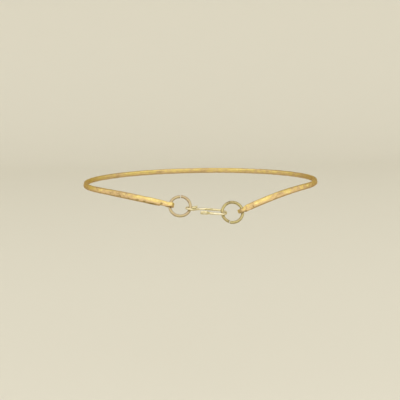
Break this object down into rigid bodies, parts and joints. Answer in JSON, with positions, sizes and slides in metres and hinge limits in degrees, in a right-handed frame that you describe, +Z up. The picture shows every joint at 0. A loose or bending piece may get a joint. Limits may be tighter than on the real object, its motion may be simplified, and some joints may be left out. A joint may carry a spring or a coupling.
{
  "type": "collar choker necklace",
  "caption": "Stiff hammered brass collar worn close round the neck, closed at the nape by jump rings in its curled ends and a fastened S-hook.",
  "frame": {"origin": "centre of the neck opening, level with the bar at the sides of the neck", "axes": "+Z up along the neck, the wearer faces -Y, the clasp is at +Y, +X is the wearer's left"},
  "size_m": [0.131, 0.1173, 0.0167],
  "materials": {
    "hammered_brass": "hand hammered, satin, lightly tarnished",
    "ring_brass": "drawn wire, satin, slightly tarnished",
    "hook_brass": "bright drawn wire"
  },
  "bodies": {
    "root": {"collar_bar": "hammered_brass", "jump_ring_left": "ring_brass", "jump_ring_right": "ring_brass", "s_hook": "hook_brass"}
  },
  "joints": []
}
